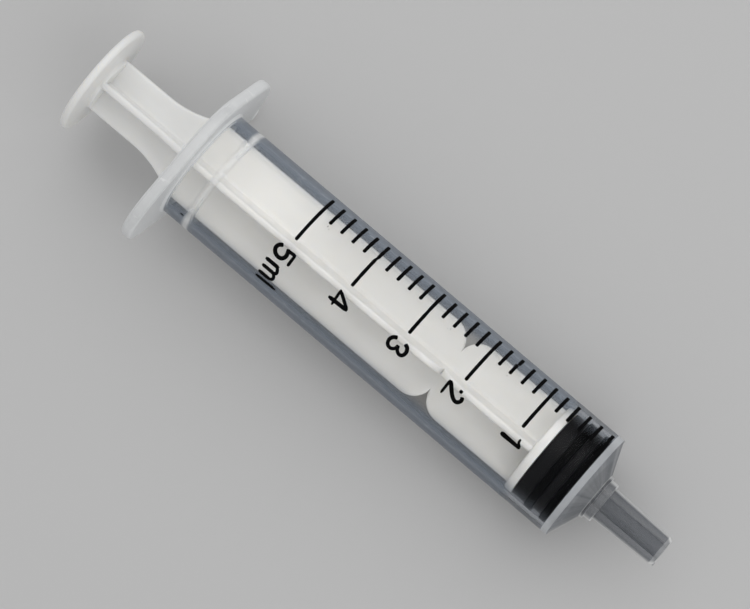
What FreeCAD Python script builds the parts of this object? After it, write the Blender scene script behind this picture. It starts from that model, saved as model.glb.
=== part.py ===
import FreeCAD, Part
import math
import os

# Oral dosing syringe, 5 ml, all lengths in millimetres.
# The axis of the syringe is X, with the nozzle towards +X and the thumb plate towards -X.
# The origin is on the axis at the mouth of the nozzle.
# The syringe lies on a table with +Z up, on one straight side of the finger flange and the front
# edge of the tube, so the flange is rolled about the axis.

# Barrel tube
bore_dia = 12.33
barrel_wall = 0.835
barrel_length = 58.0          # tip-side face of the flange to the front edge of the tube
shoulder_step = 0.25          # flat ring around the foot of the nose
bore_lead_in = 0.3            # chamfer at the open end of the bore

# Finger flange, an oval plate whose rounded corners are joined by four straight sides
flange_thickness = 1.5
flange_half_length = 13.15
flange_end_radius = 5.4       # rounding of the two wings
flange_side_reach = 2.7       # how far the middle of the oval stands out from the tube
flange_side_radius = 7.8      # rounding of the middle
flange_edge_radius = 0.45
flange_root_bevel = 0.35      # between the flange and the tube

# Retention bead, a low ring inside the bore that keeps the plunger from falling out
bead_distance = 3.2           # tip-side face of the flange to the middle of the bead
bead_width = 1.3
bead_top_width = 0.4
bead_height = 0.27

# Nose, collar and nozzle
nose_length = 1.5
nose_front_wall = 0.85        # axial depth of solid plastic at the corner of the bore
ledge_dia = 5.9
ledge_length = 0.35
collar_dia = 5.3
collar_length = 1.0
collar_edge = 0.12
nozzle_mouth_dia = 3.92
nozzle_taper = 0.06           # change of diameter for each unit of length
nozzle_length = 8.65
nozzle_bore_dia = 2.0
mouth_bevel_depth = 0.3
mouth_bevel_length = 0.45

# Rubber seal
seal_clearance = 0.05         # radial gap between the sealing ribs and the bore
seal_rear_land = 1.9
seal_rib_width = 1.1
seal_groove_width = 1.15
seal_front_rib_width = 0.9
seal_land_depth = 0.3         # how far the rear land lies below the ribs
seal_groove_depth = 0.45
seal_rib_edge = 0.15          # bevel on the outer edges of the two sealing ribs
seal_nose_gap = 0.2           # axial gap between the seal and the nose when empty
seal_tip_dia = 2.6

# Plunger rod
rib_thickness = 0.85
rib_width = 10.6              # across opposite ribs inside the barrel
waist_width = 7.06            # across opposite ribs next to the thumb plate
waist_length = 6.35           # straight part of the waist
flare_radius = 13.0
web_radius = 0.5              # fillet in the corners between neighbouring ribs
rod_turn = 7.5                # rest angle of the ribs about the axis, in degrees
notch_radius = 2.65           # rounded shoulders of the snap-off notches
notch_depth = 2.35
notch_distance = 13.65        # front disc to the notches
front_disc_dia = 11.9
front_disc_thickness = 1.1

# Thumb plate
thumb_dia = 14.3
thumb_rim_thickness = 0.95
thumb_rim_edge = 0.28         # bevel on both edges of the rim
thumb_dish = 0.2              # extra thickness at the hub
thumb_hub_dia = 7.0
thumb_hub_height = 0.5
thumb_hub_edge = 0.2
thumb_standoff = 14.1         # back of the flange to the outer face of the thumb plate

# Snap head that holds the seal on the rod
neck_dia = 3.6
neck_length = 1.3
head_dia = 6.0
head_rim_length = 0.6
head_cone_length = 1.1
head_top_dia = 2.8
head_clearance = 0.1
seat_gap = 0.05               # front disc to the back of the seal

# Printed scale
scale_volume = 5.0            # millilitres at the last line
scale_step = 0.2
steps_in_one_ml = 5
cubic_mm_in_one_ml = 1000.0
line_width = 0.38
ink_thickness = 0.03
line_start_angle = 68.0       # from +Z towards +Y, in degrees
short_line_end_angle = 36.0
long_line_end_angle = 2.0

# Radii that follow from the sizes above
bore_radius = bore_dia / 2
barrel_radius = bore_radius + barrel_wall
ledge_radius = ledge_dia / 2
collar_radius = collar_dia / 2
mouth_radius = nozzle_mouth_dia / 2
nozzle_root_radius = mouth_radius + nozzle_taper * nozzle_length / 2
nozzle_bore_radius = nozzle_bore_dia / 2
seal_radius = bore_radius - seal_clearance

# The flange's straight sides lean by this angle, in radians, from its long direction
wing_centre = flange_half_length - flange_end_radius
middle_centre = barrel_radius + flange_side_reach - flange_side_radius
centre_distance = math.hypot(wing_centre, middle_centre)
radius_share = (flange_side_radius - flange_end_radius) / centre_distance
flange_side_angle = math.asin(radius_share) + math.atan2(middle_centre, wing_centre)

# Places along the axis, from the mouth of the nozzle back to the thumb plate
mouth_x = 0.0
collar_front_x = mouth_x - nozzle_length
ledge_front_x = collar_front_x - collar_length
nose_top_x = ledge_front_x - ledge_length
shoulder_x = nose_top_x - nose_length
flange_front_x = shoulder_x - barrel_length
flange_back_x = flange_front_x - flange_thickness
bead_x = flange_front_x + bead_distance
bore_end_x = shoulder_x - nose_front_wall

# The inside of the nose runs parallel to its outside
nose_slope = nose_length / (barrel_radius - shoulder_step - ledge_radius)
inner_nose_length = nose_slope * (bore_radius - nozzle_bore_radius)
inner_nose_top_x = bore_end_x + inner_nose_length

# Places of the seal and the rod when the syringe is empty
seal_front_x = bore_end_x - seal_nose_gap
front_rib_back_x = seal_front_x - seal_front_rib_width
rear_rib_front_x = front_rib_back_x - seal_groove_width
rear_rib_back_x = rear_rib_front_x - seal_rib_width
seal_back_x = rear_rib_back_x - seal_rear_land
disc_front_x = seal_back_x - seat_gap
disc_back_x = disc_front_x - front_disc_thickness
notch_x = disc_back_x - notch_distance
thumb_back_x = flange_back_x - thumb_standoff
thumb_front_x = thumb_back_x + thumb_rim_thickness + thumb_dish
hub_front_x = thumb_front_x + thumb_hub_height

# One millilitre is this far along the bore, and the zero line ends level with the seal's front rib
ml_length = cubic_mm_in_one_ml / (math.pi * bore_radius ** 2)
zero_x = seal_front_x - line_width / 2

# How far tools reach past the faces that they cut
overshoot = 1.0

axis_point = FreeCAD.Vector(0, 0, 0)
axis_direction = FreeCAD.Vector(1, 0, 0)


def point(x, radius):
    """A point of a half section, in the plane through the axis and +Z."""
    return FreeCAD.Vector(x, 0, radius)


def line(start, end):
    """A straight edge between two points given as (x, height)."""
    return Part.LineSegment(point(*start), point(*end)).toShape()


def arc(start, middle, end):
    """A round edge through three points given as (x, height)."""
    return Part.Arc(point(*start), point(*middle), point(*end)).toShape()


def turned(corners):
    """A solid of revolution about the syringe's axis, from the corners of its half section."""
    outline = Part.makePolygon([point(*corner) for corner in corners + corners[:1]])
    return Part.Face(outline).revolve(axis_point, axis_direction, 360)


def circles_at(shape, x, radius):
    """The circular edges of a shape that lie around the axis at one place and radius."""
    found = []
    for edge in shape.Edges:
        if not isinstance(edge.Curve, Part.Circle):
            continue
        centre = edge.Curve.Center
        on_axis = abs(centre.y) + abs(centre.z) < 1e-4
        if on_axis and abs(centre.x - x) < 1e-4 and abs(edge.Curve.Radius - radius) < 1e-4:
            found.append(edge)
    return found


def save(shape, node):
    """Writes one piece of the syringe to its own file."""
    shape.removeSplitter().exportStep("parts/" + node + ".step")


def flange_outline():
    """Outline of the flange: two wings and two middles, joined by straight common tangents."""
    cosine = math.cos(flange_side_angle)
    sine = math.sin(flange_side_angle)

    def spot(centre, radius, along, across):
        return FreeCAD.Vector(flange_back_x, centre[0] + radius * along, centre[1] + radius * across)

    edges = []
    for sign in (1, -1):
        wing = (sign * wing_centre, 0)
        middle = (0, sign * middle_centre)
        next_wing = (-sign * wing_centre, 0)
        wing_start = spot(wing, flange_end_radius, sign * sine, -sign * cosine)
        wing_tip = spot(wing, flange_end_radius, sign, 0)
        wing_finish = spot(wing, flange_end_radius, sign * sine, sign * cosine)
        middle_start = spot(middle, flange_side_radius, sign * sine, sign * cosine)
        middle_top = spot(middle, flange_side_radius, 0, sign)
        middle_finish = spot(middle, flange_side_radius, -sign * sine, sign * cosine)
        next_start = spot(next_wing, flange_end_radius, -sign * sine, sign * cosine)
        edges.append(Part.Arc(wing_start, wing_tip, wing_finish).toShape())
        edges.append(Part.LineSegment(wing_finish, middle_start).toShape())
        edges.append(Part.Arc(middle_start, middle_top, middle_finish).toShape())
        edges.append(Part.LineSegment(middle_finish, next_start).toShape())
    return Part.Wire(edges)


def make_flange():
    """Finger flange with a softly rounded rim, rolled so that one straight side is level below."""
    plate = Part.Face(flange_outline()).extrude(FreeCAD.Vector(flange_thickness, 0, 0))
    rim = [edge for edge in plate.Edges if edge.BoundBox.XLength < 1e-6]
    plate = plate.makeFillet(flange_edge_radius, rim)
    plate.rotate(axis_point, axis_direction, -math.degrees(flange_side_angle))
    return plate


def make_barrel_outside():
    """Tube, steep nose, ledge, collar and tapered nozzle as one turned solid."""
    bevel_radius = mouth_radius + nozzle_taper * mouth_bevel_length / 2
    body = turned([
        (flange_back_x + flange_thickness / 2, 0),
        (flange_back_x + flange_thickness / 2, barrel_radius),
        (shoulder_x, barrel_radius),
        (shoulder_x, barrel_radius - shoulder_step),
        (nose_top_x, ledge_radius),
        (ledge_front_x, ledge_radius),
        (ledge_front_x, collar_radius),
        (collar_front_x, collar_radius),
        (collar_front_x, nozzle_root_radius),
        (mouth_x - mouth_bevel_length, bevel_radius),
        (mouth_x, bevel_radius - mouth_bevel_depth),
        (mouth_x, 0),
    ])
    body = body.makeChamfer(collar_edge, circles_at(body, collar_front_x, collar_radius))
    return body


def make_bore():
    """Everything that is hollow: lead-in, retention bead, bore, nose and nozzle bore."""
    bead_radius = bore_radius - bead_height
    back = flange_back_x - overshoot
    front = mouth_x + overshoot
    return turned([
        (back, 0),
        (back, bore_radius + bore_lead_in + overshoot),
        (flange_back_x + bore_lead_in, bore_radius),
        (bead_x - bead_width / 2, bore_radius),
        (bead_x - bead_top_width / 2, bead_radius),
        (bead_x + bead_top_width / 2, bead_radius),
        (bead_x + bead_width / 2, bore_radius),
        (bore_end_x, bore_radius),
        (inner_nose_top_x, nozzle_bore_radius),
        (front, nozzle_bore_radius),
        (front, 0),
    ])


def make_barrel():
    """The barrel is one moulding, from the finger flange to the mouth of the nozzle."""
    body = make_barrel_outside().fuse(make_flange())
    body = body.makeChamfer(flange_root_bevel, circles_at(body, flange_front_x, barrel_radius))
    return body.cut(make_bore())


def make_scale():
    """Printed lines, one for each step of the scale and a longer one for each millilitre."""
    lines = []
    for step in range(round(scale_volume / scale_step) + 1):
        x = zero_x - step * scale_step * ml_length
        is_long = step % steps_in_one_ml == 0
        end_angle = long_line_end_angle if is_long else short_line_end_angle
        sweep = line_start_angle - end_angle
        section = Part.makePolygon([
            point(x - line_width / 2, barrel_radius),
            point(x + line_width / 2, barrel_radius),
            point(x + line_width / 2, barrel_radius + ink_thickness),
            point(x - line_width / 2, barrel_radius + ink_thickness),
            point(x - line_width / 2, barrel_radius),
        ])
        section.rotate(axis_point, axis_direction, -line_start_angle)
        lines.append(Part.Face(section).revolve(axis_point, axis_direction, sweep))
    return Part.makeCompound(lines)


def make_rib_pair():
    """Two opposite ribs as one flat plate, with the waist, the flare and the snap-off notches."""
    waist = waist_width / 2
    rib = rib_width / 2
    rise = rib - waist
    flare_start_x = hub_front_x + waist_length
    flare_length = math.sqrt(flare_radius ** 2 - (flare_radius - rise) ** 2)
    flare_end_x = flare_start_x + flare_length
    half_turn = math.asin(flare_length / flare_radius) / 2
    flare_middle = (
        flare_start_x + flare_radius * math.sin(half_turn),
        waist + flare_radius * (1 - math.cos(half_turn)),
    )
    notch_sweep = math.acos(1 - notch_depth / notch_radius)
    notch_reach = notch_radius * math.sin(notch_sweep)

    def half_outline(side):
        def spot(x, height):
            return (x, side * height)

        notch_back = spot(notch_x - notch_reach, rib)
        notch_bottom = spot(notch_x, rib - notch_depth)
        notch_front = spot(notch_x + notch_reach, rib)
        shoulder_reach = notch_reach - notch_radius * math.sin(notch_sweep / 2)
        shoulder_height = rib - notch_radius * (1 - math.cos(notch_sweep / 2))
        back_middle = spot(notch_x - shoulder_reach, shoulder_height)
        front_middle = spot(notch_x + shoulder_reach, shoulder_height)
        return [
            line(spot(thumb_front_x - thumb_dish, waist), spot(flare_start_x, waist)),
            arc(spot(flare_start_x, waist), spot(*flare_middle), spot(flare_end_x, rib)),
            line(spot(flare_end_x, rib), notch_back),
            arc(notch_back, back_middle, notch_bottom),
            arc(notch_bottom, front_middle, notch_front),
            line(notch_front, spot(disc_back_x + front_disc_thickness / 2, rib)),
        ]

    back_end = line((thumb_front_x - thumb_dish, waist), (thumb_front_x - thumb_dish, -waist))
    front_end_x = disc_back_x + front_disc_thickness / 2
    front_end = line((front_end_x, rib), (front_end_x, -rib))
    outline = Part.Wire(Part.__sortEdges__(half_outline(1) + half_outline(-1) + [back_end, front_end]))
    plate = Part.Face(outline).extrude(FreeCAD.Vector(0, rib_thickness, 0))
    plate.translate(FreeCAD.Vector(0, -rib_thickness / 2, 0))
    return plate


def make_ribs():
    """Four ribs in a cross, with filleted corners along the axis."""
    flat = make_rib_pair()
    upright = flat.copy()
    upright.rotate(axis_point, axis_direction, 90)
    cross = flat.fuse(upright).removeSplitter()
    corner = rib_thickness / 2
    inner = []
    for edge in cross.Edges:
        box = edge.BoundBox
        centre = box.Center
        in_corner = abs(abs(centre.y) - corner) < 1e-4 and abs(abs(centre.z) - corner) < 1e-4
        if in_corner and box.XLength > waist_length:
            inner.append(edge)
    return cross.makeFillet(web_radius, inner)


def make_thumb_plate():
    """Round thumb plate with a softened rim, dished towards a low hub that the ribs stand on."""
    radius = thumb_dia / 2
    rim_front_x = thumb_back_x + thumb_rim_thickness
    plate = turned([
        (thumb_back_x, 0),
        (thumb_back_x, radius - thumb_rim_edge),
        (thumb_back_x + thumb_rim_edge, radius),
        (rim_front_x - thumb_rim_edge, radius),
        (rim_front_x, radius - thumb_rim_edge),
        (thumb_front_x, thumb_hub_dia / 2),
        (hub_front_x, thumb_hub_dia / 2),
        (hub_front_x, 0),
    ])
    return plate.makeChamfer(thumb_hub_edge, circles_at(plate, hub_front_x, thumb_hub_dia / 2))


def make_front_disc():
    """Round disc behind the seal, the neck and the snap head."""
    disc_radius = front_disc_dia / 2
    neck_end_x = disc_front_x + neck_length
    head_cone_x = neck_end_x + head_rim_length
    head = turned([
        (disc_back_x, 0),
        (disc_back_x, disc_radius),
        (disc_front_x, disc_radius),
        (disc_front_x, neck_dia / 2),
        (neck_end_x, neck_dia / 2),
        (neck_end_x, head_dia / 2),
        (head_cone_x, head_dia / 2),
        (head_cone_x + head_cone_length, head_top_dia / 2),
        (head_cone_x + head_cone_length, 0),
    ])
    return head


def make_rod():
    """The plunger rod is one moulding, turned as a whole to its rest angle."""
    rod = make_ribs().fuse([make_thumb_plate(), make_front_disc()])
    rod.rotate(axis_point, axis_direction, rod_turn)
    return rod


def make_seal():
    """Rubber seal: rear land, two sealing ribs with a groove between, and a conical front."""
    land_radius = seal_radius - seal_land_depth
    groove_radius = seal_radius - seal_groove_depth
    tip_x = seal_front_x + nose_slope * (seal_radius - seal_tip_dia / 2)
    body = turned([
        (seal_back_x, 0),
        (seal_back_x, land_radius),
        (rear_rib_back_x, land_radius),
        (rear_rib_back_x, seal_radius),
        (rear_rib_front_x, seal_radius),
        (rear_rib_front_x, groove_radius),
        (front_rib_back_x, groove_radius),
        (front_rib_back_x, seal_radius),
        (seal_front_x, seal_radius),
        (tip_x, seal_tip_dia / 2),
        (tip_x, 0),
    ])
    rib_edges = circles_at(body, rear_rib_back_x, seal_radius)
    rib_edges = rib_edges + circles_at(body, seal_front_x, seal_radius)
    return body.makeChamfer(seal_rib_edge, rib_edges).cut(make_head_cavity())


def make_head_cavity():
    """Cavity in the back of the seal that takes the neck and the head with a small gap."""
    neck_end_x = disc_front_x + neck_length - head_clearance
    head_cone_x = disc_front_x + neck_length + head_rim_length + head_clearance
    return turned([
        (seal_back_x - overshoot, 0),
        (seal_back_x - overshoot, neck_dia / 2 + head_clearance),
        (neck_end_x, neck_dia / 2 + head_clearance),
        (neck_end_x, head_dia / 2 + head_clearance),
        (head_cone_x, head_dia / 2 + head_clearance),
        (head_cone_x + head_cone_length, head_top_dia / 2 + head_clearance),
        (head_cone_x + head_cone_length, 0),
    ])


os.makedirs("parts", exist_ok=True)
save(make_barrel(), "barrel")
save(make_scale(), "graduation_lines")
save(make_rod(), "plunger_rod")
save(make_seal(), "plunger_seal")

stroke = disc_back_x - (bead_x + bead_top_width / 2)
print("stroke from empty to the retention bead:", round(stroke, 2))
print("overall length:", round(mouth_x - thumb_back_x, 2))
print("roll of the flange in degrees:", round(math.degrees(flange_side_angle), 2))
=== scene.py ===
"""Looks of a 5 ml oral dosing syringe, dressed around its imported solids.

The syringe lies with its axis on X, the nozzle towards +X and the thumb plate towards -X. Angles about
the axis go from +Z towards +Y. Lengths are millimetres here and become metres where a mesh, a lamp or
the camera is made.
"""

import logging
import math
import random
from dataclasses import dataclass, field
from enum import Enum

import bmesh
import bpy
from mathutils import Matrix, Vector


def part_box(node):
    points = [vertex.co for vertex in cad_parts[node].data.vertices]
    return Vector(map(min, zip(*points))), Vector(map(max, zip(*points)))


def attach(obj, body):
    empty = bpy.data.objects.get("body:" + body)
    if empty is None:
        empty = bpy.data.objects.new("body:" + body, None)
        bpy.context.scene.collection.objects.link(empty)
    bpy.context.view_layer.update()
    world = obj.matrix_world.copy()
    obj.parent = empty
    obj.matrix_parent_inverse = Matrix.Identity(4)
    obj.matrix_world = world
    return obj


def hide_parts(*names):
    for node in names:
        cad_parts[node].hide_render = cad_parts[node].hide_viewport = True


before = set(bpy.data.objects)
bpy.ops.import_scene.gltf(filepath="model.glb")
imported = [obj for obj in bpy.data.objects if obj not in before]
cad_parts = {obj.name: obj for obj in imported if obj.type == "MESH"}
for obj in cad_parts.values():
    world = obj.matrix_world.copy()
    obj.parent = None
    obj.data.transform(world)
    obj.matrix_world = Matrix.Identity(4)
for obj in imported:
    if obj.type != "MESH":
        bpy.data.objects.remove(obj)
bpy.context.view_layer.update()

Pair = tuple[float, float]
Triple = tuple[float, float, float]

MM = 0.001
ROUND_STEPS = 96
STROKE_STEPS = 7
NEAR_ZERO = 1e-6
log = logging.getLogger("syringe")


class Body(Enum):
    """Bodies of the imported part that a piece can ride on."""

    BARREL = "barrel"
    PISTON = "piston"
    PLUNGER = "plunger"


class Slot(Enum):
    """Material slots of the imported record."""

    BARREL = "barrel_plastic"
    ROD = "rod_plastic"
    SEAL = "seal_rubber"
    INK = "scale_ink"


class Wire:
    """An output socket of a material's nodes, with the operators that shader maths needs."""

    def __init__(self, graph: "Graph", socket: bpy.types.NodeSocket) -> None:
        """Wraps one socket.

        Args:
            graph: The material that the socket belongs to.
            socket: The output socket.
        """
        self.graph = graph
        self.socket = socket

    def _math(self, operation: str, first: "Wire | float", second: "Wire | float") -> "Wire":
        """Adds one Math node and returns its value."""
        return self.graph.node("ShaderNodeMath", {"operation": operation}, {0: first, 1: second})

    def __add__(self, other: "Wire | float") -> "Wire":
        """Sum of two values."""
        return self._math("ADD", self, other)

    def __radd__(self, other: float) -> "Wire":
        """Sum of a number and a value."""
        return self._math("ADD", other, self)

    def __sub__(self, other: "Wire | float") -> "Wire":
        """Difference of two values."""
        return self._math("SUBTRACT", self, other)

    def __rsub__(self, other: float) -> "Wire":
        """Difference of a number and a value."""
        return self._math("SUBTRACT", other, self)

    def __mul__(self, other: "Wire | float") -> "Wire":
        """Product of two values."""
        return self._math("MULTIPLY", self, other)

    def __rmul__(self, other: float) -> "Wire":
        """Product of a number and a value."""
        return self._math("MULTIPLY", other, self)

    def between(self, low: float, high: float) -> "Wire":
        """Turns the stretch from low to high into a smooth step from 0 to 1.

        Args:
            low: The value that becomes 0.
            high: The value that becomes 1.

        Returns:
            The stepped value.
        """
        limits = {"From Min": low, "From Max": high}
        settings = {"interpolation_type": "SMOOTHSTEP"}
        return self.graph.node("ShaderNodeMapRange", settings, {"Value": self, **limits})


class Graph:
    """One material and its node tree."""

    def __init__(self, name: str) -> None:
        """Makes an empty material.

        Args:
            name: The material's name.
        """
        self.material = bpy.data.materials.new(name)
        self.material.use_nodes = True
        self.tree = self.material.node_tree
        self.tree.nodes.clear()

    def node(self, kind: str, settings: dict | None = None, inputs: dict | None = None,
             output: int | str = 0) -> Wire | None:
        """Adds one node.

        Args:
            kind: The node's type.
            settings: Properties of the node, which are set first.
            inputs: Values or wires of its input sockets, by name or number.
            output: The output socket that is wanted, by name or number.

        Returns:
            The wanted output, or nothing for a node that has none.
        """
        made = self.tree.nodes.new(kind)
        for key, value in (settings or {}).items():
            setattr(made, key, value)
        for key, value in (inputs or {}).items():
            if isinstance(value, Wire):
                self.tree.links.new(value.socket, made.inputs[key])
            else:
                made.inputs[key].default_value = value
        return Wire(self, made.outputs[output]) if made.outputs else None

    def place(self, scale: Triple = (1.0, 1.0, 1.0)) -> Wire:
        """Position on the object in millimetres, stretched by a scale along each axis.

        Args:
            scale: Factors along X, Y and Z.

        Returns:
            The stretched position.
        """
        position = self.node("ShaderNodeTexCoord", output="Object")
        factors = tuple(factor / MM for factor in scale)
        return self.node("ShaderNodeVectorMath", {"operation": "MULTIPLY"}, {0: position, 1: factors})

    def noise(self, place: Wire, scale: float, detail: float) -> Wire:
        """Smooth noise between 0 and 1.

        Args:
            place: The position that it is read at, in millimetres.
            scale: Lumps in one millimetre.
            detail: Number of finer layers.

        Returns:
            The noise.
        """
        inputs = {"Vector": place, "Scale": scale, "Detail": detail}
        return self.node("ShaderNodeTexNoise", {"normalize": True}, inputs, "Fac")

    def bump(self, height: Wire, distance: float, strength: float) -> Wire:
        """A normal that is tilted by a height.

        Args:
            height: The height, from 0 to 1.
            distance: How high 1 is, in millimetres.
            strength: Share of the tilt that is used.

        Returns:
            The normal.
        """
        inputs = {"Height": height, "Distance": distance * MM, "Strength": strength}
        return self.node("ShaderNodeBump", None, inputs)

    def blend(self, mask: Wire, low: Wire | Triple, high: Triple) -> Wire:
        """A colour between two colours.

        Args:
            mask: 0 for the first colour and 1 for the second.
            low: The first colour.
            high: The second colour.

        Returns:
            The colour.
        """
        first = low if isinstance(low, Wire) else (*low, 1.0)
        inputs = {0: mask, 6: first, 7: (*high, 1.0)}
        return self.node("ShaderNodeMix", {"data_type": "RGBA"}, inputs, 2)

    def off_axis(self) -> Wire:
        """Position on the object in millimetres, without its part along the axis."""
        return self.place((0.0, 1.0, 1.0))

    def radius(self) -> Wire:
        """Distance from the axis in millimetres."""
        return self.node("ShaderNodeVectorMath", {"operation": "LENGTH"}, {0: self.off_axis()}, "Value")

    def mix(self, share: "Wire | float", first: Wire, second: Wire) -> Wire:
        """A mix of two shaders.

        Args:
            share: Share of the second shader.
            first: The first shader.
            second: The second shader.

        Returns:
            The mixed shader.
        """
        return self.node("ShaderNodeMixShader", None, {0: share, 1: first, 2: second})

    def finish(self, shader: Wire) -> bpy.types.Material:
        """Connects the shader to the output.

        Args:
            shader: What the surface shows.

        Returns:
            The finished material.
        """
        self.node("ShaderNodeOutputMaterial", None, {"Surface": shader})
        return self.material


@dataclass(frozen=True)
class Zone:
    """A stretch of the barrel along its axis, with soft ends.

    Each end is a pair: the place where the stretch has faded out, and the place where it is at full
    strength. A stretch that has only one end runs on to the end of the barrel.
    """

    first: Pair
    second: Pair | None = None

    def mask(self, along: Wire) -> Wire:
        """The stretch as a mask.

        Args:
            along: Place along the axis.

        Returns:
            1 inside the stretch and 0 outside.
        """
        faded = along.between(*self.first)
        return faded * along.between(*self.second) if self.second else faded


@dataclass(frozen=True)
class ClearPlastic:
    """Hazy clear polypropylene of the barrel, which lets the rod and the floor show through.

    The haze is a milky shader over a clear one, and it grows with the plastic's depth: the tube is the
    clearest, the finger flange the milkiest, and the retention bead, the tube's front edge and the nose
    lie between them. Towards its outline the tube is seen through more plastic, so it turns smoky there.
    Over the seal at rest that haze is thinned: painted shade for the light that the black seal keeps
    from coming through the tube. The front edge is whiter partly by its depth and partly by a painted
    glow of light carried along the wall. The ledge, the collar, the mouth and the nozzle's sides are
    whiter by painted highlights, which stand for the light that these edges catch; the nose has streaks
    that run to its tip, and the whole barrel has faint scuffs. The index is lower than the plastic's own
    1.49, so that reflections don't cover the seal and the print.
    """

    clear_tint: Triple = (0.95, 0.945, 0.935)
    smoky_tint: Triple = (0.72, 0.75, 0.79)
    nose_tint: Triple = (0.49, 0.505, 0.535)
    smoke: Triple = (0.22, 0.255, 0.305)
    nose_smoke: Triple = (0.17, 0.18, 0.195)
    milk: Triple = (0.90, 0.905, 0.90)
    gloss: float = 0.05
    index: float = 1.07
    tube_haze: float = 0.004
    outline_haze: float = 0.50
    flange_haze: float = 0.68
    bead_haze: float = 0.22
    front_haze: float = 0.42
    nose_haze: float = 0.22
    rim_haze: float = 0.40
    flow_haze: float = 0.14
    scuff_haze: float = 0.10
    # share of the outline haze taken away over the seal: painted shade for the light that the black seal
    # keeps from coming through
    seal_painted_shade: float = 0.75
    flange_white: float = 0.78
    bead_white: float = 0.90
    # whiteness of the tube's front edge: partly its depth, partly a painted glow of light carried along
    # the wall
    front_white_and_glow: float = 0.50
    # painted highlight on the nozzle's sides towards its outline, for the light that their thick wall
    # catches
    rim_painted_glint: float = 0.52
    streak_white: float = 0.18
    scuff_white: float = 0.12
    # weights of the ledge, collar and mouth rings: painted highlights in the whiteness, and more haze in
    # the depth
    ledge_glint_and_haze: float = 0.45
    collar_glint_and_haze: float = 0.27
    mouth_glint_and_haze: float = 0.54
    outline_facing: Pair = (0.25, 0.60)
    rim_facing: Pair = (0.40, 0.80)
    rim_radius: Pair = (0.80, 1.80)
    streak_window: Pair = (0.42, 0.68)
    scuff_window: Pair = (0.60, 0.72)
    flange: Zone = Zone((-69.1, -69.3))
    bead: Zone = Zone((-66.8, -66.2), (-65.45, -65.95))
    # stretch of the seal at rest, where the painted shade thins the outline haze
    seal: Zone = Zone((-19.0, -17.4), (-12.3, -12.5))
    front: Zone = Zone((-12.42, -12.32), (-11.48, -11.56))
    nose: Zone = Zone((-11.56, -11.48))
    nozzle: Zone = Zone((-10.1, -9.9))
    ledge: Zone = Zone((-10.06, -10.0), (-9.9, -9.96))
    collar: Zone = Zone((-9.7, -9.6), (-8.62, -8.72))
    mouth: Zone = Zone((-0.6, -0.4))

    def material(self) -> bpy.types.Material:
        """Builds the node material."""
        graph = Graph("clear_plastic")
        flow = graph.noise(graph.place((0.12, 1.0, 1.0)), scale=0.9, detail=3.0)
        grain = graph.noise(graph.place(), scale=9.0, detail=2.0)
        marks = graph.noise(graph.place((0.5, 1.5, 1.5)), scale=1.1, detail=5.0)
        scuffs = marks.between(*self.scuff_window)
        outward = graph.node("ShaderNodeVectorMath", {"operation": "NORMALIZE"}, {0: graph.off_axis()})
        streaks = graph.noise(outward, scale=3.5, detail=3.0).between(*self.streak_window)
        along = graph.node("ShaderNodeSeparateXYZ", None, {0: graph.place()}, "X")
        facing = graph.node("ShaderNodeLayerWeight", None, {"Blend": 0.5}, "Facing")
        outline = facing.between(*self.outline_facing)
        flange = self.flange.mask(along)
        bead = self.bead.mask(along)
        front = self.front.mask(along)
        nose = self.nose.mask(along)
        # rim: the nozzle's sides towards the outline and the ledge, collar and mouth rings, whose
        # whiteness is painted highlight
        nozzle_side = self.nozzle.mask(along) * graph.radius().between(*self.rim_radius)
        rim = (nozzle_side * facing.between(*self.rim_facing)
               + self.ledge_glint_and_haze * self.ledge.mask(along)
               + self.collar_glint_and_haze * self.collar.mask(along)
               + self.mouth_glint_and_haze * self.mouth.mask(along))
        tube_tint = graph.blend(outline, self.clear_tint, self.smoky_tint)
        clear = graph.node("ShaderNodeBsdfPrincipled", None, {
            "Base Color": graph.blend(nose, tube_tint, self.nose_tint),
            "Roughness": self.gloss + 0.03 * flow + 0.02 * grain,
            "IOR": self.index,
            "Transmission Weight": 1.0,
        })
        # whiteness: the flange's, bead's, streaks' and scuffs' own, the front edge's partly painted glow
        # and the rims' painted highlights
        whiteness_and_glint = (self.flange_white * flange + self.bead_white * bead + self.front_white_and_glow * front
                     + self.rim_painted_glint * rim + self.streak_white * nose * streaks
                     + self.scuff_white * scuffs)
        smoke = graph.blend(nose, self.smoke, self.nose_smoke)
        milky = graph.node("ShaderNodeBsdfPrincipled", None, {
            "Base Color": graph.blend(whiteness_and_glint, smoke, self.milk),
            "Roughness": 0.4,
            "IOR": 1.49,
            "Specular IOR Level": 0.25,
        })
        # painted shade: the outline haze thins where the black seal stands behind the wall
        seal_shade_factor = 1 - self.seal_painted_shade * self.seal.mask(along)
        depth = (self.tube_haze + self.outline_haze * outline * seal_shade_factor + self.flange_haze * flange
                 + self.bead_haze * bead + self.front_haze * front + self.nose_haze * nose
                 + self.rim_haze * rim)
        unevenness = (1 - self.flow_haze / 2) + self.flow_haze * flow + self.scuff_haze * scuffs
        body = graph.mix(depth * unevenness, clear, milky)
        lamp_way = graph.node("ShaderNodeBsdfTransparent", None, {"Color": (*self.clear_tint, 1.0)})
        lamp_ray = graph.node("ShaderNodeLightPath", output="Is Shadow Ray")
        return graph.finish(graph.mix(lamp_ray, body, lamp_way))


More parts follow.
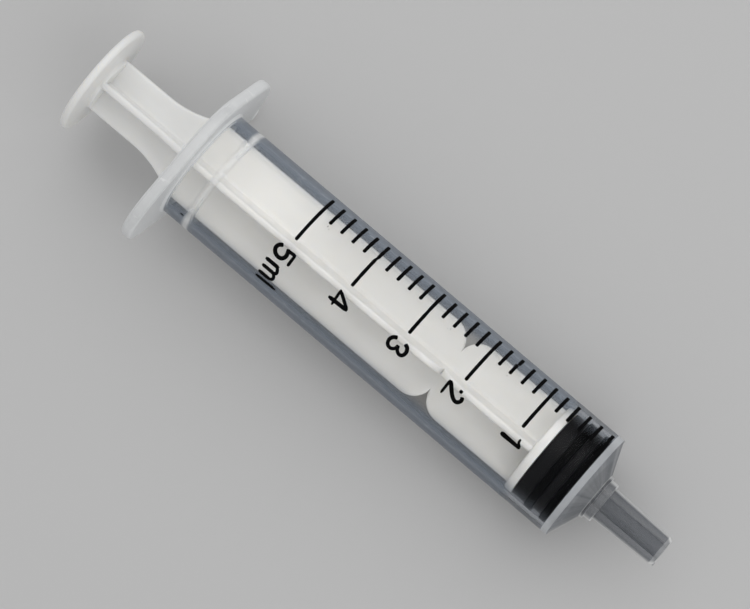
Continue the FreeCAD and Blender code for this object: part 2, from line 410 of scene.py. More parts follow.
@dataclass(frozen=True)
class MilkyPlastic:
    """Milky white polypropylene of the plunger rod."""

    light: Triple = (0.84, 0.84, 0.83)
    dark: Triple = (0.81, 0.81, 0.80)
    gloss: float = 0.36

    def material(self) -> bpy.types.Material:
        """Builds the node material."""
        graph = Graph("milky_plastic")
        cloud = graph.noise(graph.place((0.3, 1.0, 1.0)), scale=0.4, detail=3.0)
        grain = graph.noise(graph.place(), scale=12.0, detail=3.0)
        surface = graph.node("ShaderNodeBsdfPrincipled", None, {
            "Base Color": graph.blend(cloud.between(0.3, 0.7), self.dark, self.light),
            "Roughness": self.gloss + 0.08 * grain,
            "IOR": 1.49,
            "Subsurface Weight": 0.6,
            "Subsurface Radius": (1.0, 0.95, 0.85),
            "Subsurface Scale": 0.9 * MM,
            "Normal": graph.bump(grain, distance=0.006, strength=0.6),
        })
        return graph.finish(surface)


@dataclass(frozen=True)
class BlackRubber:
    """Smooth black rubber of the seal, blackest on the ribs that press on the tube; lighter elsewhere by
    a painted reflection.
    """

    pressed: Triple = (0.0005, 0.0005, 0.0006)
    # free is the lighter tone off the pressed ribs: a painted reflection of the tube's inner wall over
    # the air gap
    free: Triple = (0.008, 0.008, 0.009)
    contact_radius: Pair = (5.90, 6.05)
    gloss: float = 0.28
    contact_roughness: float = 0.60

    def material(self) -> bpy.types.Material:
        """Builds the node material."""
        graph = Graph("black_rubber")
        contact = graph.radius().between(*self.contact_radius)
        grain = graph.noise(graph.place(), scale=6.0, detail=4.0)
        surface = graph.node("ShaderNodeBsdfPrincipled", None, {
            # colour: painted reflection away from the ribs, none where they press on the tube
            "Base Color": graph.blend(contact, self.free, self.pressed),
            "Roughness": self.gloss + self.contact_roughness * contact + 0.08 * grain,
            "IOR": 1.5,
            "Specular IOR Level": 0.05,
            "Normal": graph.bump(grain, distance=0.01, strength=0.4),
        })
        return graph.finish(surface)


@dataclass(frozen=True)
class PrintedInk:
    """Black ink of the scale, with spots where it lies thinner."""

    colour: Triple = (0.001, 0.001, 0.0012)
    thin: Triple = (0.004, 0.004, 0.0045)

    def material(self) -> bpy.types.Material:
        """Builds the node material."""
        graph = Graph("printed_ink")
        spots = graph.noise(graph.place(), scale=3.0, detail=4.0)
        surface = graph.node("ShaderNodeBsdfPrincipled", None, {
            "Base Color": graph.blend(spots.between(0.45, 0.75), self.colour, self.thin),
            "Roughness": 0.6 + 0.25 * spots,
            "IOR": 1.5,
            "Specular IOR Level": 0.05,
        })
        return graph.finish(surface)


@dataclass(frozen=True)
class StudioPaper:
    """Pale paper of the floor."""

    colour: Triple = (0.57, 0.57, 0.57)

    def material(self) -> bpy.types.Material:
        """Builds the node material."""
        graph = Graph("studio_paper")
        fibre = graph.noise(graph.place(), scale=0.8, detail=4.0)
        surface = graph.node("ShaderNodeBsdfPrincipled", None, {
            "Base Color": (*self.colour, 1.0),
            "Roughness": 0.8,
            "Specular IOR Level": 0.1,
            "Normal": graph.bump(fibre, distance=0.02, strength=0.3),
        })
        return graph.finish(surface)


@dataclass(frozen=True)
class Corner:
    """One corner of a half section: its place along the axis, its radius and its rounding."""

    x: float
    radius: float
    rounding: float = 0.0


def rounded(corners: list[Corner], steps: int) -> list[Pair]:
    """Points of a closed outline whose corners are rounded.

    Each rounding takes less than half of the edges that it lies on.

    Args:
        corners: The corners in order.
        steps: Edges in each rounding.

    Returns:
        The points as (x, radius).
    """
    points = []
    count = len(corners)
    largest_share = 0.49
    for number, corner in enumerate(corners):
        here = Vector((corner.x, corner.radius))
        before = corners[number - 1]
        after = corners[(number + 1) % count]
        back = Vector((before.x, before.radius)) - here
        ahead = Vector((after.x, after.radius)) - here
        if corner.rounding <= 0 or back.length == 0 or ahead.length == 0:
            points.append((here.x, here.y))
            continue
        half = back.angle(ahead) / 2
        longest = largest_share * min(back.length, ahead.length)
        reach = min(corner.rounding / math.tan(half), longest)
        radius = reach * math.tan(half)
        start = here + back.normalized() * reach
        end = here + ahead.normalized() * reach
        inward = (back.normalized() + ahead.normalized()).normalized()
        centre = here + inward * (radius / math.sin(half))
        first = start - centre
        sweep = first.angle_signed(end - centre)
        for step in range(steps + 1):
            turn = Matrix.Rotation(-sweep * step / steps, 2)
            spot = centre + turn @ first
            points.append((spot.x, spot.y))
    return points


def new_piece(name: str, mesh: bmesh.types.BMesh) -> bpy.types.Object:
    """Turns millimetre mesh data into an object in metres.

    Args:
        name: The piece's name.
        mesh: The mesh, which is freed.

    Returns:
        The new object, linked to the scene.
    """
    bmesh.ops.scale(mesh, vec=(MM, MM, MM), verts=mesh.verts)
    bmesh.ops.recalc_face_normals(mesh, faces=mesh.faces)
    data = bpy.data.meshes.new(name)
    mesh.to_mesh(data)
    mesh.free()
    piece = bpy.data.objects.new(name, data)
    bpy.context.scene.collection.objects.link(piece)
    return piece


def dress(piece: bpy.types.Object, material: bpy.types.Material, body: Body) -> None:
    """Gives a piece its material, and lets it ride on a body.

    Args:
        piece: The piece.
        material: Its material.
        body: The body that carries it.
    """
    piece.data.materials.clear()
    piece.data.materials.append(material)
    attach(piece, body.value)
    log.info("%s: %d faces, rides on %s", piece.name, len(piece.data.polygons), body.value)


def smooth(piece: bpy.types.Object, angle: float = 35.0) -> None:
    """Shades a piece smoothly, apart from edges that turn by more than an angle.

    Args:
        piece: The piece.
        angle: The angle in degrees.
    """
    limit = math.radians(angle)
    mesh = bmesh.new()
    mesh.from_mesh(piece.data)
    for face in mesh.faces:
        face.smooth = True
    for edge in mesh.edges:
        edge.smooth = len(edge.link_faces) == 2 and edge.calc_face_angle(0.0) < limit
    mesh.to_mesh(piece.data)
    mesh.free()


def turned(outline: list[Pair]) -> bmesh.types.BMesh:
    """Turns a closed half section about the axis.

    Args:
        outline: Points as (x, radius); a radius of 0 lies on the axis.

    Returns:
        The closed mesh.
    """
    mesh = bmesh.new()
    rings = []
    for x, radius in outline:
        if radius < NEAR_ZERO:
            rings.append([mesh.verts.new((x, 0.0, 0.0))] * ROUND_STEPS)
            continue
        ring = []
        for step in range(ROUND_STEPS):
            angle = 2 * math.pi * step / ROUND_STEPS
            ring.append(mesh.verts.new((x, radius * math.sin(angle), radius * math.cos(angle))))
        rings.append(ring)
    for number in range(len(rings)):
        first = rings[number - 1]
        second = rings[number]
        for step in range(ROUND_STEPS):
            corners = [first[step - 1], first[step], second[step], second[step - 1]]
            unique = list(dict.fromkeys(corners))
            if len(unique) > 2:
                mesh.faces.new(unique)
    return mesh


def united(name: str, pieces: list[bpy.types.Object]) -> bpy.types.Object:
    """Joins closed pieces into one closed piece.

    Args:
        name: The name of the result.
        pieces: The pieces, which are removed.

    Returns:
        The joined piece.
    """
    whole = pieces[0]
    for other in pieces[1:]:
        modifier = whole.modifiers.new("join", "BOOLEAN")
        modifier.operation = "UNION"
        modifier.solver = "EXACT"
        modifier.object = other
    bpy.context.view_layer.update()
    view = bpy.context.evaluated_depsgraph_get()
    data = bpy.data.meshes.new_from_object(whole.evaluated_get(view))
    for piece in pieces:
        bpy.data.objects.remove(piece)
    result = bpy.data.objects.new(name, data)
    bpy.context.scene.collection.objects.link(result)
    return result


@dataclass
class Barrel:
    """The clear barrel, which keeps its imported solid."""

    finish: ClearPlastic = field(default_factory=ClearPlastic)

    def build(self) -> None:
        """Dresses the barrel's node."""
        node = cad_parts["barrel"]
        node.data.materials.clear()
        node.data.materials.append(self.finish.material())
        log.info("barrel: dressed")


@dataclass
class PlungerRod:
    """The rod: thumb plate, hub, four ribs in a cross, front disc, neck and snap head."""

    rib_thickness: float = 0.85
    rib_width: float = 10.6
    waist_width: float = 7.06
    waist_length: float = 6.35
    flare_radius: float = 13.0
    web_radius: float = 0.5
    rib_edge: float = 0.28
    turn: float = 7.5
    notch_radius: float = 2.65
    notch_depth: float = 2.35
    notch_distance: float = 13.65
    disc_dia: float = 11.9
    disc_thickness: float = 1.1
    thumb_dia: float = 14.3
    thumb_rim: float = 0.95
    thumb_dish: float = 0.2
    hub_dia: float = 7.0
    hub_height: float = 0.5
    neck_dia: float = 3.6
    neck_length: float = 1.3
    head_dia: float = 6.0
    head_rim_length: float = 0.6
    head_cone_length: float = 1.1
    head_top_dia: float = 2.8
    hub_station: float = 0.3
    waist_station: float = 3.0
    rib_station: float = 5.0
    rib_stations: int = 6
    flare_steps: int = 20
    notch_steps: int = 12
    edge_steps: int = 3
    web_steps: int = 5
    finish: MilkyPlastic = field(default_factory=MilkyPlastic)

    def __post_init__(self) -> None:
        """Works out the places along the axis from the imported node."""
        low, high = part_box("plunger_rod")
        self.thumb_back = low.x / MM
        self.thumb_front = self.thumb_back + self.thumb_rim + self.thumb_dish
        self.hub_front = self.thumb_front + self.hub_height
        head_length = self.neck_length + self.head_rim_length + self.head_cone_length
        self.disc_front = high.x / MM - head_length
        self.disc_back = self.disc_front - self.disc_thickness
        self.notch_x = self.disc_back - self.notch_distance
        self.notch_sweep = math.acos(1 - self.notch_depth / self.notch_radius)
        self.notch_reach = self.notch_radius * math.sin(self.notch_sweep)
        flare_rise = (self.rib_width - self.waist_width) / 2
        self.flare_length = math.sqrt(self.flare_radius ** 2 - (self.flare_radius - flare_rise) ** 2)

    def half_width(self, x: float) -> float:
        """Half the width across opposite ribs.

        Args:
            x: Place along the axis.

        Returns:
            The half width.
        """
        waist = self.waist_width / 2
        rib = self.rib_width / 2
        along = x - self.hub_front - self.waist_length
        if along <= 0:
            return waist
        if along < self.flare_length:
            return waist + self.flare_radius - math.sqrt(self.flare_radius ** 2 - along ** 2)
        off = abs(x - self.notch_x)
        if off < self.notch_reach:
            rise = math.sqrt(self.notch_radius ** 2 - (self.notch_reach - off) ** 2)
            return rib - self.notch_radius + rise
        return rib

    def stations(self) -> list[float]:
        """Places along the axis where the cross section is set out."""
        flare_start = self.hub_front + self.waist_length
        flare_end = flare_start + self.flare_length
        places = [self.hub_front - self.hub_height / 2, self.hub_front + self.hub_station]
        places.append(flare_start - self.waist_station)
        for step in range(self.flare_steps + 1):
            places.append(flare_start + self.flare_length * step / self.flare_steps)
        for step in range(1, self.rib_stations + 1):
            places.append(flare_end + self.rib_station * step)
        for side in (-1, 1):
            for step in range(self.notch_steps + 1):
                sweep = self.notch_sweep * step / self.notch_steps
                reach = self.notch_reach - self.notch_radius * math.sin(sweep)
                places.append(self.notch_x + side * reach)
        places += [self.notch_x - 2 * self.notch_radius, self.notch_x + 2 * self.notch_radius]
        places.append(self.disc_back + self.disc_thickness / 2)
        return sorted(set(round(place, 4) for place in places))

    def section(self, half: float) -> list[Pair]:
        """Cross section of the ribs.

        Args:
            half: Half the width across opposite ribs.

        Returns:
            Points as (y, z), in order round the axis.
        """
        wall = self.rib_thickness / 2
        edge = self.rib_edge
        web = self.web_radius
        quarter = []
        for step in range(self.edge_steps + 1):
            angle = math.pi / 2 * step / self.edge_steps
            quarter.append((half - edge + edge * math.cos(angle), wall - edge + edge * math.sin(angle)))
        quarter.append(((half + wall + web) / 2, wall))
        for step in range(self.web_steps + 1):
            angle = math.pi / 2 * step / self.web_steps
            quarter.append((wall + web - web * math.sin(angle), wall + web - web * math.cos(angle)))
        quarter.append((wall, (half + wall + web) / 2))
        for step in range(self.edge_steps + 1):
            angle = math.pi / 2 * step / self.edge_steps
            quarter.append((wall - edge + edge * math.cos(angle), half - edge + edge * math.sin(angle)))
        points = []
        for turn in range(4):
            cosine = round(math.cos(math.pi / 2 * turn))
            sine = round(math.sin(math.pi / 2 * turn))
            points += [(y * cosine - z * sine, y * sine + z * cosine) for y, z in quarter]
        return points

    def ribs(self) -> bpy.types.Object:
        """The crossed ribs as one closed loft."""
        mesh = bmesh.new()
        rings = []
        for x in self.stations():
            ring = [mesh.verts.new((x, y, z)) for y, z in self.section(self.half_width(x))]
            rings.append(ring)
        for first, second in zip(rings, rings[1:]):
            for step in range(len(first)):
                mesh.faces.new([first[step - 1], first[step], second[step], second[step - 1]])
        mesh.faces.new(rings[0])
        mesh.faces.new(rings[-1])
        return new_piece("ribs", mesh)

    def thumb_plate(self) -> bpy.types.Object:
        """The thumb plate with its hub."""
        outline = rounded([
            Corner(self.thumb_back, 0.0),
            Corner(self.thumb_back, self.thumb_dia / 2, 0.4),
            Corner(self.thumb_back + self.thumb_rim, self.thumb_dia / 2, 0.4),
            Corner(self.thumb_front, self.hub_dia / 2, 0.35),
            Corner(self.hub_front, self.hub_dia / 2 - 0.05, 0.2),
            Corner(self.hub_front, 0.0),
        ], steps=6)
        return new_piece("thumb_plate", turned(outline))

    def front_end(self) -> bpy.types.Object:
        """The front disc, the neck and the snap head."""
        neck_end = self.disc_front + self.neck_length
        cone_start = neck_end + self.head_rim_length
        head_end = cone_start + self.head_cone_length
        outline = rounded([
            Corner(self.disc_back, 0.0),
            Corner(self.disc_back, self.disc_dia / 2, 0.25),
            Corner(self.disc_front, self.disc_dia / 2, 0.12),
            Corner(self.disc_front, self.neck_dia / 2, 0.15),
            Corner(neck_end, self.neck_dia / 2, 0.1),
            Corner(neck_end, self.head_dia / 2, 0.15),
            Corner(cone_start, self.head_dia / 2, 0.2),
            Corner(head_end, self.head_top_dia / 2, 0.2),
            Corner(head_end, 0.0),
        ], steps=4)
        return new_piece("front_end", turned(outline))

    def build(self) -> None:
        """Builds and dresses the rod."""
        rod = united("rod_moulding", [self.ribs(), self.thumb_plate(), self.front_end()])
        rod.data.transform(Matrix.Rotation(math.radians(self.turn), 4, "X"))
        smooth(rod)
        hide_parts("plunger_rod")
        dress(rod, self.finish.material(), Body.PLUNGER)


@dataclass
class Seal:
    """The rubber seal with its rear land, two sealing ribs and conical front."""

    radius: float = 6.115
    rear_land: float = 1.9
    rib_width: float = 1.1
    groove_width: float = 1.15
    front_rib_width: float = 0.9
    land_depth: float = 0.3
    groove_depth: float = 0.45
    rib_edge: float = 0.22
    tip_dia: float = 2.6
    head_gap: float = 0.1
    finish: BlackRubber = field(default_factory=BlackRubber)

    def build(self, rod: PlungerRod) -> None:
        """Builds and dresses the seal.

        Args:
            rod: The rod whose snap head sits in the seal.
        """
        low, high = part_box("plunger_seal")
        back = low.x / MM
        tip = high.x / MM
        rib_back = back + self.rear_land
        groove_back = rib_back + self.rib_width
        front_rib = groove_back + self.groove_width
        shoulder = front_rib + self.front_rib_width
        land = self.radius - self.land_depth
        groove = self.radius - self.groove_depth
        gap = self.head_gap
        cavity_neck = rod.disc_front + rod.neck_length - gap
        cavity_rim = rod.disc_front + rod.neck_length + rod.head_rim_length + gap
        cavity_end = cavity_rim + rod.head_cone_length
        outline = rounded([
            Corner(back, rod.neck_dia / 2 + gap),
            Corner(back, land, 0.2),
            Corner(rib_back, land, 0.12),
            Corner(rib_back, self.radius, self.rib_edge),
            Corner(groove_back, self.radius, self.rib_edge),
            Corner(groove_back, groove, 0.25),
            Corner(front_rib, groove, 0.25),
            Corner(front_rib, self.radius, self.rib_edge),
            Corner(shoulder, self.radius, self.rib_edge),
            Corner(tip, self.tip_dia / 2, 0.5),
            Corner(tip, 0.0),
            Corner(cavity_end, 0.0),
            Corner(cavity_end, rod.head_top_dia / 2 + gap),
            Corner(cavity_rim, rod.head_dia / 2 + gap),
            Corner(cavity_neck, rod.head_dia / 2 + gap),
            Corner(cavity_neck, rod.neck_dia / 2 + gap),
        ], steps=5)
        seal = new_piece("seal_moulding", turned(outline))
        smooth(seal)
        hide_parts("plunger_seal")
        dress(seal, self.finish.material(), Body.PISTON)


@dataclass
class MouldingFlash:
    """Two small rags of plastic: one at the flange's front edge, one at the mouth of the nozzle."""

    flange_spot: Triple = (-69.68, 8.1, -9.0)
    flange_size: Triple = (0.30, 1.0, 0.20)
    mouth_spot: Triple = (0.02, -1.66, -0.55)
    mouth_size: Triple = (0.12, 0.24, 0.14)
    unevenness: float = 0.18
    finish: ClearPlastic = field(default_factory=lambda: ClearPlastic(tube_haze=0.6, nose_haze=0.6))

    def rag(self, name: str, spot: Triple, size: Triple, seed: int) -> bpy.types.Object:
        """A small uneven lump of plastic.

        Args:
            name: The piece's name.
            spot: Its middle.
            size: Half its length along each axis.
            seed: Picks its unevenness.

        Returns:
            The new piece.
        """
        chance = random.Random(seed)
        mesh = bmesh.new()
        bmesh.ops.create_icosphere(mesh, subdivisions=2, radius=1.0)
        for vertex in mesh.verts:
            swell = 1 + chance.uniform(-self.unevenness, self.unevenness)
            stretched = [half * swell * share for half, share in zip(size, vertex.co)]
            vertex.co = Vector(middle + offset for middle, offset in zip(spot, stretched))
        return new_piece(name, mesh)

    def build(self) -> None:
        """Builds and dresses both rags."""
        material = self.finish.material()
        for piece in (self.rag("flange_flash", self.flange_spot, self.flange_size, seed=3),
                      self.rag("mouth_burr", self.mouth_spot, self.mouth_size, seed=8)):
            smooth(piece, angle=60.0)
            dress(piece, material, Body.BARREL)


@dataclass(frozen=True)
class Stroke:
    """One stroke of a printed sign.

    Points are (across, up) in millimetres: across from the line where the signs start, and up from the
    line of the scale that the sign belongs to. The width runs evenly from start_width to end_width.
    """

    points: tuple[Pair, ...]
    start_width: float
    end_width: float
    curved: bool = False

    def path(self) -> list[Pair]:
        """Points along the stroke, on a smooth line through its points if it is curved.

        Returns:
            The points as (across, up).
        """
        spots = [Vector(point) for point in self.points]
        ends = [2 * spots[0] - spots[1], *spots, 2 * spots[-1] - spots[-2]]
        path = []
        for before, start, end, after in zip(ends, ends[1:], ends[2:], ends[3:]):
            for step in range(STROKE_STEPS):
                share = step / STROKE_STEPS
                if not self.curved:
                    spot = start.lerp(end, share)
                else:
                    lead_in = (end - before) / 2
                    lead_out = (after - start) / 2
                    square = share * share
                    cube = square * share
                    spot = (start * (2 * cube - 3 * square + 1) + lead_in * (cube - 2 * square + share)
                            + end * (3 * square - 2 * cube) + lead_out * (cube - square))
                path.append((spot.x, spot.y))
        path.append((spots[-1].x, spots[-1].y))
        return path


SIGNS = {
    5: (
        Stroke(((2.12, 1.17), (0.46, 1.13)), 0.34, 0.30),
        Stroke(((0.60, 1.15), (0.64, 0.25)), 0.36, 0.34),
        Stroke(((0.46, 0.09), (0.98, 0.30), (1.43, 0.34), (1.83, 0.11), (1.96, -0.28), (1.87, -0.71),
                (1.63, -1.04), (1.23, -1.21), (0.79, -1.09), (0.48, -0.67)), 0.42, 0.42, True),
    ),
    4: (
        Stroke(((1.58, 1.34), (1.66, -1.38)), 0.42, 0.42),
        Stroke(((1.53, 1.28), (0.24, -0.65)), 0.36, 0.34),
        Stroke(((0.10, -0.67), (2.23, -0.52)), 0.30, 0.28),
    ),
    3: (
        Stroke(((0.15, 0.50), (0.37, 0.96), (0.89, 1.19), (1.39, 1.04), (1.54, 0.68), (1.31, 0.24),
                (0.77, -0.02)), 0.42, 0.34, True),
        Stroke(((0.77, -0.02), (1.31, -0.12), (1.62, -0.53), (1.49, -1.04), (0.93, -1.26), (0.44, -1.07),
                (0.15, -0.62)), 0.32, 0.42, True),
    ),
    2: (
        Stroke(((-0.01, 0.50), (0.41, 0.48)), 0.36, 0.36),
        Stroke(((0.57, 1.00), (1.00, 1.14), (1.42, 0.90), (1.49, 0.50), (1.20, -0.02), (0.74, -0.50),
                (0.25, -0.96), (0.03, -1.28)), 0.40, 0.42, True),
        Stroke(((-0.07, -1.29), (1.83, -1.26)), 0.30, 0.28),
    ),
    1: (
        Stroke(((0.86, 1.36), (0.83, 0.52), (0.81, -1.49)), 0.28, 0.50),
        Stroke(((-0.06, 0.77), (0.40, 0.84), (0.80, 1.23)), 0.20, 0.32, True),
    ),
    "m": (
        Stroke(((3.02, 0.56), (3.02, -1.41)), 0.42, 0.42),
        Stroke(((4.02, 0.48), (4.02, -1.31)), 0.42, 0.42),
        Stroke(((5.10, 0.50), (5.10, -1.28)), 0.42, 0.42),
        Stroke(((3.06, 0.34), (3.43, 0.58), (3.80, 0.64), (4.02, 0.38)), 0.34, 0.36, True),
        Stroke(((4.04, 0.36), (4.38, 0.62), (4.78, 0.66), (5.10, 0.42)), 0.34, 0.36, True),
    ),
    "l": (
        Stroke(((5.94, 1.60), (6.00, -1.31)), 0.38, 0.38),
    ),
}


@dataclass(frozen=True)
class Flaw:
    """A place where a printed line slipped or thinned.

    number is the line's number from zero, share how far along it the flaw lies, slip how far the rest of
    the line is shifted along the axis, thin the share of the width that is left at the flaw, and reach
    the share of the line that the flaw takes up.
    """

    number: int
    share: float
    slip: float
    thin: float
    reach: float = 0.05

    def slip_at(self, share: float) -> float:
        """Shift of the line at a share of its length."""
        return self.slip * min(max((share - self.share) / self.reach + 0.5, 0.0), 1.0)

    def width_at(self, share: float) -> float:
        """Share of the line's width that is left at a share of its length."""
        return 1 - (1 - self.thin) * max(1 - abs(share - self.share) / self.reach, 0.0)


FLAWS = (
    Flaw(20, 0.42, -0.07, 0.65),
    Flaw(8, 0.45, -0.10, 0.25),
    Flaw(5, 0.30, 0.03, 0.85),
    Flaw(15, 0.55, 0.02, 0.85),
)


@dataclass(frozen=True)
class Speck:
    """A small spot of ink: its place along the axis and round the tube, and its length and width."""

    x: float
    around: float
    length: float
    width: float


SPECKS = (
    Speck(-66.9, -7.05, 0.50, 0.26),
    Speck(-52.9, 4.0, 0.10, 0.16),
    Speck(-52.6, 3.8, 0.07, 0.08),
    Speck(-34.6, 4.1, 0.08, 0.10),
    Speck(-34.9, 3.9, 0.06, 0.06),
    Speck(-26.3, 4.2, 0.08, 0.10),
)


@dataclass
class PrintedScale:
    """The printed lines, the numerals and the unit, as thin ink on the tube."""

    tube_radius: float = 7.0
    thickness: float = 0.03
    foot: float = -0.01
    line_width: float = 0.43
    unevenness: float = 0.05
    seed: int = 5
    long_steps: int = 60
    short_steps: int = 30
    start_angle: float = 68.0
    short_end: float = 36.0
    long_end: float = 2.0
    ml_length: float = 8.375
    zero_x: float = -12.74
    step: float = 0.2
    steps_in_one_ml: int = 5
    volume: float = 5.0
    sign_start: float = 0.6
    sign_weight: float = 1.20
    stroke_lift: float = 0.002
    speck_lift: float = 0.001
    speck_steps: int = 8
    speck_end: float = 0.06
    end_reach: float = 0.30
    end_width: float = 0.55
    sharpest_corner: float = 0.5
    climb: float = 0.17
    long_climb: float = 0.45
    short_climb: float = 0.34
    finish: PrintedInk = field(default_factory=PrintedInk)

    def spot(self, x: float, around: float, height: float) -> Triple:
        """A point near the tube's surface.

        Args:
            x: Place along the axis.
            around: Length round the tube from the top line, towards +Y.
            height: Height over the tube.

        Returns:
            The point.
        """
        angle = around / self.tube_radius
        radius = self.tube_radius + height
        return (x, radius * math.sin(angle), radius * math.cos(angle))

    def ribbon(self, mesh: bmesh.types.BMesh, path: list[Pair], widths: list[float],
               layer: float = 0.0) -> None:
        """Lays a strip of ink along a path on the tube.

        Args:
            mesh: The mesh that the strip is added to.
            path: Points as (x, length round the tube).
            widths: The strip's width at each point.
            layer: Extra height over the tube.
        """
        rings = []
        count = len(path)
        for number, (x, around) in enumerate(path):
            before = Vector(path[max(number - 1, 0)])
            after = Vector(path[min(number + 1, count - 1)])
            here = Vector((x, around))
            back = (here - before).normalized() if number > 0 else (after - here).normalized()
            ahead = (after - here).normalized() if number < count - 1 else back
            middle = (back + ahead).normalized() if (back + ahead).length > NEAR_ZERO else ahead
            side = Vector((-middle.y, middle.x))
            stretch = 1 / max(abs(middle.dot(back)), self.sharpest_corner)
            reach = side * widths[number] / 2 * stretch
            left = here + reach
            right = here - reach
            top = self.thickness + layer
            ring = [
                mesh.verts.new(self.spot(left.x, left.y, self.foot)),
                mesh.verts.new(self.spot(left.x, left.y, top)),
                mesh.verts.new(self.spot(here.x, here.y, top)),
                mesh.verts.new(self.spot(right.x, right.y, top)),
                mesh.verts.new(self.spot(right.x, right.y, self.foot)),
            ]
            rings.append(ring)
        for first, second in zip(rings, rings[1:]):
            for step in range(len(first)):
                mesh.faces.new([first[step - 1], first[step], second[step], second[step - 1]])
        mesh.faces.new(rings[0])
        mesh.faces.new(rings[-1])

    def lines(self) -> bpy.types.Object:
        """The lines of the scale, with the small unevenness of a pad print."""
        mesh = bmesh.new()
        chance = random.Random(self.seed)
        for number in range(round(self.volume / self.step) + 1):
            x = self.zero_x - number * self.step * self.ml_length
            is_long = number % self.steps_in_one_ml == 0
            end = self.long_end if is_long else self.short_end
            forward = 1 - number * self.step / self.volume
            start_place = math.radians(self.start_angle) * self.tube_radius + self.climb * forward
            end_climb = self.long_climb if is_long else self.short_climb
            end_place = math.radians(end) * self.tube_radius + end_climb * forward
            count = self.long_steps if is_long else self.short_steps
            path = []
            widths = []
            for step in range(count + 1):
                share = step / count
                slip = 0.0
                width = self.line_width * (1 + chance.uniform(-self.unevenness, self.unevenness))
                for flaw in FLAWS:
                    if flaw.number == number:
                        slip += flaw.slip_at(share)
                        width *= flaw.width_at(share)
                path.append((x + slip, start_place + (end_place - start_place) * share))
                widths.append(width)
            self.ribbon(mesh, path, self.with_round_ends(path, widths))
        return new_piece("scale_lines", mesh)

    def with_round_ends(self, path: list[Pair], widths: list[float]) -> list[float]:
        """Narrows a strip towards both ends, so that its ends look soft.

        Args:
            path: The strip's points.
            widths: The strip's width at each point.

        Returns:
            The narrowed widths.
        """
        lengths = [0.0]
        for first, second in zip(path, path[1:]):
            lengths.append(lengths[-1] + math.dist(first, second))
        narrowed = []
        for place, width in zip(lengths, widths):
            reach = width * self.end_reach
            inside = min(place, lengths[-1] - place, reach) / reach
            swell = math.sqrt(1 - (1 - inside) ** 2)
            narrowed.append(width * (self.end_width + (1 - self.end_width) * swell))
        return narrowed

    def sign(self, name: str, ml: float, strokes: tuple[Stroke, ...]) -> bpy.types.Object:
        """One printed numeral or letter.

        Args:
            name: The piece's name.
            ml: The line of the scale that the sign belongs to.
            strokes: Its strokes.

        Returns:
            The new piece.
        """
        mesh = bmesh.new()
        line_x = self.zero_x - ml * self.ml_length
        for number, stroke in enumerate(strokes):
            path = [(line_x + up, -self.sign_start - across) for across, up in stroke.path()]
            last = len(path) - 1
            widths = []
            for step in range(last + 1):
                width = stroke.start_width + (stroke.end_width - stroke.start_width) * step / last
                widths.append(width * self.sign_weight)
            self.ribbon(mesh, path, self.with_round_ends(path, widths), self.stroke_lift * number)
        return new_piece(name, mesh)

    def specks(self) -> bpy.types.Object:
        """Small spots and smears of ink beside the print."""
        mesh = bmesh.new()
        for number, speck in enumerate(SPECKS):
            path = []
            widths = []
            for step in range(self.speck_steps + 1):
                share = step / self.speck_steps
                path.append((speck.x + speck.length * (share - 0.5), speck.around))
                swell = self.speck_end + (1 - 2 * self.speck_end) * share
                widths.append(speck.width * math.sin(math.pi * swell))
            self.ribbon(mesh, path, widths, self.speck_lift * number)
        return new_piece("ink_specks", mesh)

    def build(self) -> None:
        """Builds and dresses the print."""
        material = self.finish.material()
        lines = self.lines()
        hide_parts("graduation_lines")
        pieces = [lines, self.specks()]
        for ml in range(1, 6):
            pieces.append(self.sign(f"numeral_{ml}", ml, SIGNS[ml]))
        for letter in ("m", "l"):
            pieces.append(self.sign(f"unit_{letter}", self.volume, SIGNS[letter]))
        for piece in pieces:
            smooth(piece)
            dress(piece, material, Body.BARREL)


@dataclass(frozen=True)
class Lamp:
    """A softbox that faces the syringe.

    Its direction is the sum of shares over the syringe, up the picture and to the picture's right. Its
    level is what a white surface that faces it shows by its light.
    """

    name: str
    over: float
    up: float
    right: float
    distance: float
    size: Pair
    level: float


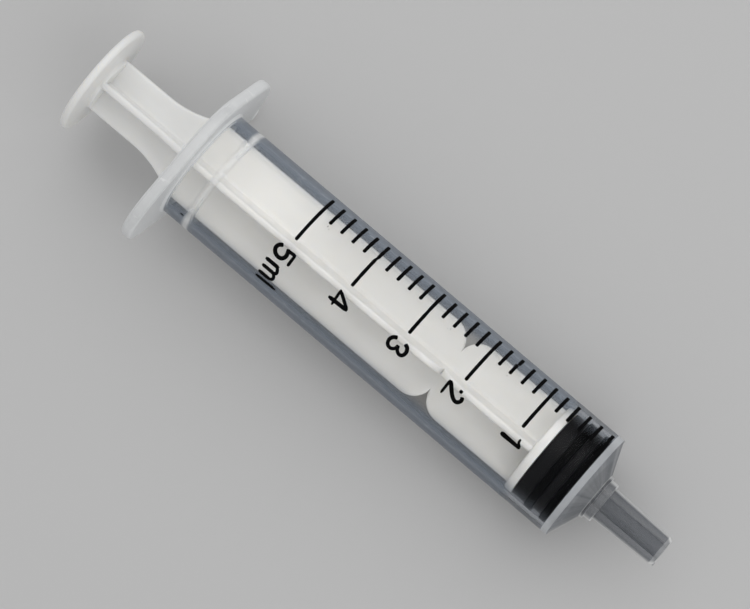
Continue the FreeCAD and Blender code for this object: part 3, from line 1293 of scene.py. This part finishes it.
@dataclass
class Studio:
    """The pale floor, the soft lamps and the camera, which has the photograph's viewing angle."""

    rest_flange_x: float = -70.25
    rest_tube: Pair = (-11.6, -7.0)
    floor_size: float = 4000.0
    target: Triple = (-43.55, 0.46, 0.0)
    distance: float = 620.0
    view_width: float = 86.2
    lean: float = 5.2
    picture_turn: float = 40.08
    key: Lamp = Lamp("key", 0.75, 0.65, 0.1, 700.0, (900.0, 700.0), 0.40)
    fill: Lamp = Lamp("fill", 0.7, -0.6, 0.5, 1200.0, (1500.0, 1500.0), 0.31)
    world_level: float = 0.50
    finish: StudioPaper = field(default_factory=StudioPaper)

    def floor(self) -> None:
        """The floor, which touches the flange and the tube's front edge."""
        low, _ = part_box("barrel")
        foot = low.z / MM
        slope = (self.rest_tube[1] - foot) / (self.rest_tube[0] - self.rest_flange_x)
        mesh = bmesh.new()
        half = self.floor_size / 2
        corners = []
        for x, y in ((-half, -half), (half, -half), (half, half), (-half, half)):
            corners.append(mesh.verts.new((x, y, foot + (x - self.rest_flange_x) * slope)))
        mesh.faces.new(corners)
        floor = new_piece("floor", mesh)
        floor.data.materials.append(self.finish.material())

    def hang(self, lamp: Lamp) -> None:
        """Adds one lamp.

        Args:
            lamp: The lamp.
        """
        turn = math.radians(self.picture_turn)
        over = Vector((0.0, 0.0, 1.0))
        up = Vector((-math.sin(turn), math.cos(turn), 0.0))
        right = Vector((math.cos(turn), math.sin(turn), 0.0))
        toward = (over * lamp.over + up * lamp.up + right * lamp.right).normalized()
        light = bpy.data.lights.new(lamp.name, "AREA")
        light.shape = "RECTANGLE"
        light.size = lamp.size[0] * MM
        light.size_y = lamp.size[1] * MM
        light.energy = lamp.level * (math.pi * lamp.distance * MM) ** 2
        holder = bpy.data.objects.new(lamp.name, light)
        holder.location = (Vector(self.target) + toward * lamp.distance) * MM
        holder.rotation_mode = "QUATERNION"
        holder.rotation_quaternion = toward.to_track_quat("Z", "Y")
        bpy.context.scene.collection.objects.link(holder)

    def camera(self) -> None:
        """The camera at the photograph's viewing angle."""
        lean = math.radians(self.lean)
        turn = math.radians(self.picture_turn)
        back = Vector((math.sin(lean), 0.0, math.cos(lean)))
        right = Vector((math.cos(turn), math.sin(turn), 0.0))
        up = back.cross(right).normalized()
        right = up.cross(back).normalized()
        data = bpy.data.cameras.new("camera")
        data.lens = data.sensor_width * self.distance / self.view_width
        data.clip_start = 0.01
        data.clip_end = 20.0
        holder = bpy.data.objects.new("camera", data)
        place = Matrix.Translation((Vector(self.target) + back * self.distance) * MM)
        holder.matrix_world = place @ Matrix((right, up, back)).transposed().to_4x4()
        bpy.context.scene.collection.objects.link(holder)
        bpy.context.scene.camera = holder

    def world(self) -> None:
        """Even light from all round."""
        world = bpy.data.worlds.new("studio")
        world.use_nodes = True
        background = world.node_tree.nodes["Background"]
        background.inputs["Color"].default_value = (1.0, 1.0, 1.0, 1.0)
        background.inputs["Strength"].default_value = self.world_level
        bpy.context.scene.world = world

    def build(self) -> None:
        """Sets up the studio."""
        self.floor()
        self.hang(self.key)
        self.hang(self.fill)
        self.world()
        self.camera()
        bpy.context.scene.view_settings.view_transform = "Standard"
        log.info("studio: floor, lamps and camera set")


def main() -> None:
    """Builds every sub-assembly in order."""
    logging.basicConfig(level=logging.INFO, format="%(name)s: %(message)s")
    Barrel().build()
    PrintedScale().build()
    rod = PlungerRod()
    rod.build()
    Seal().build(rod)
    MouldingFlash().build()
    Studio().build()


if __name__ == "__main__":
    main()
